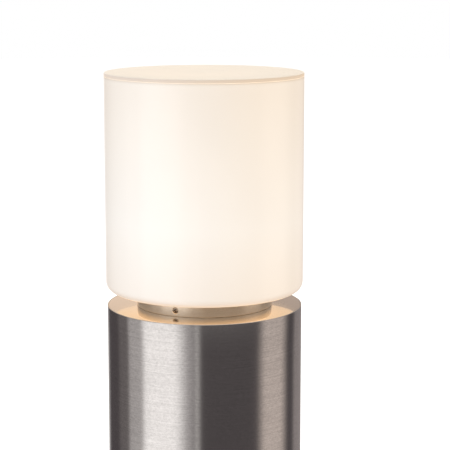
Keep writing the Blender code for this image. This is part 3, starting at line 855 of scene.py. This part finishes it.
# ------------------------------------------------------------------ floor
bm = bmesh.new()
bmesh.ops.create_circle(bm, cap_ends=True, segments=128, radius=9.0)
floor_mat = Mat("floor_white", Roughness=0.9, Specular_IOR_Level=0.1)
floor_tone = floor_mat.noise((3.0, 3.0, 3.0), 3.0, 0.5)
floor_mat.set("Base Color", floor_mat.ramp(floor_tone, [(0.3, (0.80, 0.765, 0.725)), (0.7, (0.83, 0.795, 0.755))]))
floor_r, _ = floor_mat.radius()
floor_mat.set("Emission Color", floor_mat.ramp(floor_mat.span(floor_r, 0.0, 1.0, 0.15, 1.6), [(0.0, 0.46), (0.35, 0.70), (1.0, 1.0)], "EASE"))
floor_mat.bsdf.inputs["Emission Strength"].default_value = 1.0
floor = make("studio_floor", bm, floor_mat.mat)
floor.location.z = -0.0005
floor.visible_glossy = False
floor.visible_diffuse = False

# ------------------------------------------------------------------ studio surroundings
world = bpy.data.worlds.new("studio")
scene.world = world
world.use_nodes = True
wt = world.node_tree
wt.nodes.clear()


def wnode(kind, **props):
    n = wt.nodes.new(kind)
    for k, v in props.items():
        setattr(n, k, v)
    return n


def wmath(op, a, b=None):
    n = wnode("ShaderNodeMath", operation=op)
    for i, v in enumerate((a, b)):
        if v is None:
            continue
        if isinstance(v, (int, float)):
            n.inputs[i].default_value = v
        else:
            wt.links.new(v, n.inputs[i])
    return n.outputs[0]


tc = wnode("ShaderNodeTexCoord")
sep = wnode("ShaderNodeSeparateXYZ")
wt.links.new(tc.outputs["Generated"], sep.inputs["Vector"])
azimuth = wmath("ARCTAN2", sep.outputs["X"], wmath("MULTIPLY", sep.outputs["Y"], -1.0))
turn = wmath("ADD", wmath("DIVIDE", azimuth, 2 * math.pi), 0.5)

# The room that the metal mirrors: a dark studio with eight upright panels. Each panel is
# (from, to, softness of its two edges, brightness, tint), in degrees from the front, left negative.
ROOM = (0.088, 0.076, 0.080)
PANELS = {
    "wall_back_left": (-200, -158, 6, 6, 0.45, (1.0, 0.97, 0.95)),
    "card_back_left": (-122, -100, 4, 2, 0.08, (1.0, 0.92, 0.88)),
    "card_left": (-101, -77, 2, 3, 0.44, (1.0, 0.96, 0.94)),
    "softbox_left": (-77, -28, 4, 11, 1.22, (1.0, 0.98, 0.97)),
    "softbox_left_spill": (-30, -12, 9, 5, 0.35, (1.0, 0.96, 0.95)),
    "strip_front": (-11, -6, 1.5, 3, 0.44, (1.0, 0.97, 0.94)),
    "softbox_right": (70, 109, 8, 10, 0.58, (1.0, 0.86, 0.77)),
    "wall_back_right": (131, 200, 5, 6, 0.22, (1.0, 0.88, 0.84)),
}
# The same room above the horizon, with the light's warm glow on the wall behind it.
ROOM_HIGH = (0.36, 0.345, 0.33)
PANELS_HIGH = {
    "glow_back_left": (-200, -155, 8, 8, 0.62, (1.0, 0.66, 0.40)),
    "glow_back_right": (155, 200, 8, 8, 0.20, (1.0, 0.50, 0.20)),
}


def edge(at, soft, rising):
    n = wnode("ShaderNodeMapRange", interpolation_type="SMOOTHSTEP")
    n.inputs["From Min"].default_value = 0.5 + (at - soft) / 360
    n.inputs["From Max"].default_value = 0.5 + (at + soft) / 360
    n.inputs["To Min"].default_value = 0.0 if rising else 1.0
    n.inputs["To Max"].default_value = 1.0 if rising else 0.0
    wt.links.new(turn, n.inputs["Value"])
    return n.outputs["Result"]


def surroundings(room, panels):
    total = wnode("ShaderNodeCombineXYZ")
    for i, c in enumerate(room):
        total.inputs[i].default_value = c
    total = total.outputs[0]
    for start, end, soft_in, soft_out, level, tint in panels.values():
        window = wmath("MULTIPLY", edge(start, soft_in, True), edge(end, soft_out, False))
        add = wnode("ShaderNodeVectorMath", operation="MULTIPLY_ADD")
        wt.links.new(window, add.inputs[0])
        add.inputs[1].default_value = tuple(level * c for c in tint)
        wt.links.new(total, add.inputs[2])
        total = add.outputs[0]
    return total


above = wnode("ShaderNodeMapRange", interpolation_type="SMOOTHSTEP")
above.inputs["From Min"].default_value = 0.03
above.inputs["From Max"].default_value = 0.12
wt.links.new(sep.outputs["Z"], above.inputs["Value"])
around = wnode("ShaderNodeMix", data_type="RGBA")
wt.links.new(above.outputs["Result"], around.inputs[0])
wt.links.new(surroundings(ROOM, PANELS), around.inputs[6])
wt.links.new(surroundings(ROOM_HIGH, PANELS_HIGH), around.inputs[7])

lift = wnode("ShaderNodeMapRange")
lift.interpolation_type = "SMOOTHSTEP"
lift.inputs["From Min"].default_value = 0.55
lift.inputs["From Max"].default_value = 0.9
wt.links.new(sep.outputs["Z"], lift.inputs["Value"])
dome = wnode("ShaderNodeMix", data_type="RGBA")
wt.links.new(lift.outputs["Result"], dome.inputs[0])
wt.links.new(around.outputs[2], dome.inputs[6])
dome.inputs[7].default_value = (0.93, 0.92, 0.90, 1.0)

path = wnode("ShaderNodeLightPath")
glossy_bg = wnode("ShaderNodeBackground")
glossy_bg.inputs["Strength"].default_value = 1.0
wt.links.new(dome.outputs[2], glossy_bg.inputs["Color"])
soft_bg = wnode("ShaderNodeBackground")
soft_bg.inputs["Color"].default_value = (0.92, 0.96, 1.0, 1.0)
soft_bg.inputs["Strength"].default_value = 0.13
white_bg = wnode("ShaderNodeBackground")
white_bg.inputs["Color"].default_value = (1.0, 1.0, 1.0, 1.0)
white_bg.inputs["Strength"].default_value = 1.0
first = wnode("ShaderNodeMixShader")
wt.links.new(path.outputs["Is Glossy Ray"], first.inputs[0])
wt.links.new(soft_bg.outputs[0], first.inputs[1])
wt.links.new(glossy_bg.outputs[0], first.inputs[2])
second = wnode("ShaderNodeMixShader")
wt.links.new(path.outputs["Is Camera Ray"], second.inputs[0])
wt.links.new(first.outputs[0], second.inputs[1])
wt.links.new(white_bg.outputs[0], second.inputs[2])
out = wnode("ShaderNodeOutputWorld")
wt.links.new(second.outputs[0], out.inputs["Surface"])


def softbox(name, position, size, watts, colour):
    data = bpy.data.lights.new(name, "AREA")
    data.shape = "RECTANGLE"
    data.size, data.size_y = size
    data.energy = watts
    data.color = colour
    obj = bpy.data.objects.new(name, data)
    scene.collection.objects.link(obj)
    obj.location = position
    look = Vector((0, 0, 0.45)) - Vector(position)
    obj.rotation_euler = look.to_track_quat("-Z", "Y").to_euler()
    obj.visible_glossy = False
    obj.visible_camera = False
    return obj


softbox("key_left", (-2.0, -1.1, 1.2), (1.2, 1.6), 14.0, (0.48, 0.72, 1.0))
softbox("fill_right", (2.0, -1.3, 1.1), (1.2, 1.6), 6.0, (1.0, 0.74, 0.38))
softbox("fill_back", (0.4, 2.2, 1.3), (1.6, 1.6), 12.0, (1.0, 0.93, 0.82))
softbox("top_soft", (0.0, 0.0, 3.0), (2.4, 2.4), 15.0, (0.97, 0.98, 1.0))

# ------------------------------------------------------------------ camera
cam = bpy.data.cameras.new("camera")
cam.lens = 130.6
cam.sensor_width = 36.0
cam.sensor_fit = "HORIZONTAL"
cam.clip_start = 0.01
cam.clip_end = 60.0
cam_obj = bpy.data.objects.new("camera", cam)
scene.collection.objects.link(cam_obj)
cam_obj.location = (0.0, -0.8915, POST_TOP * MM + 0.1965)
cam_obj.rotation_euler = (math.radians(90.0 - 9.70), 0.0, math.radians(-0.733))
scene.camera = cam_obj

scene.view_settings.view_transform = "Standard"
scene.view_settings.look = "None"
scene.view_settings.exposure = 0.0
scene.view_settings.gamma = 1.0
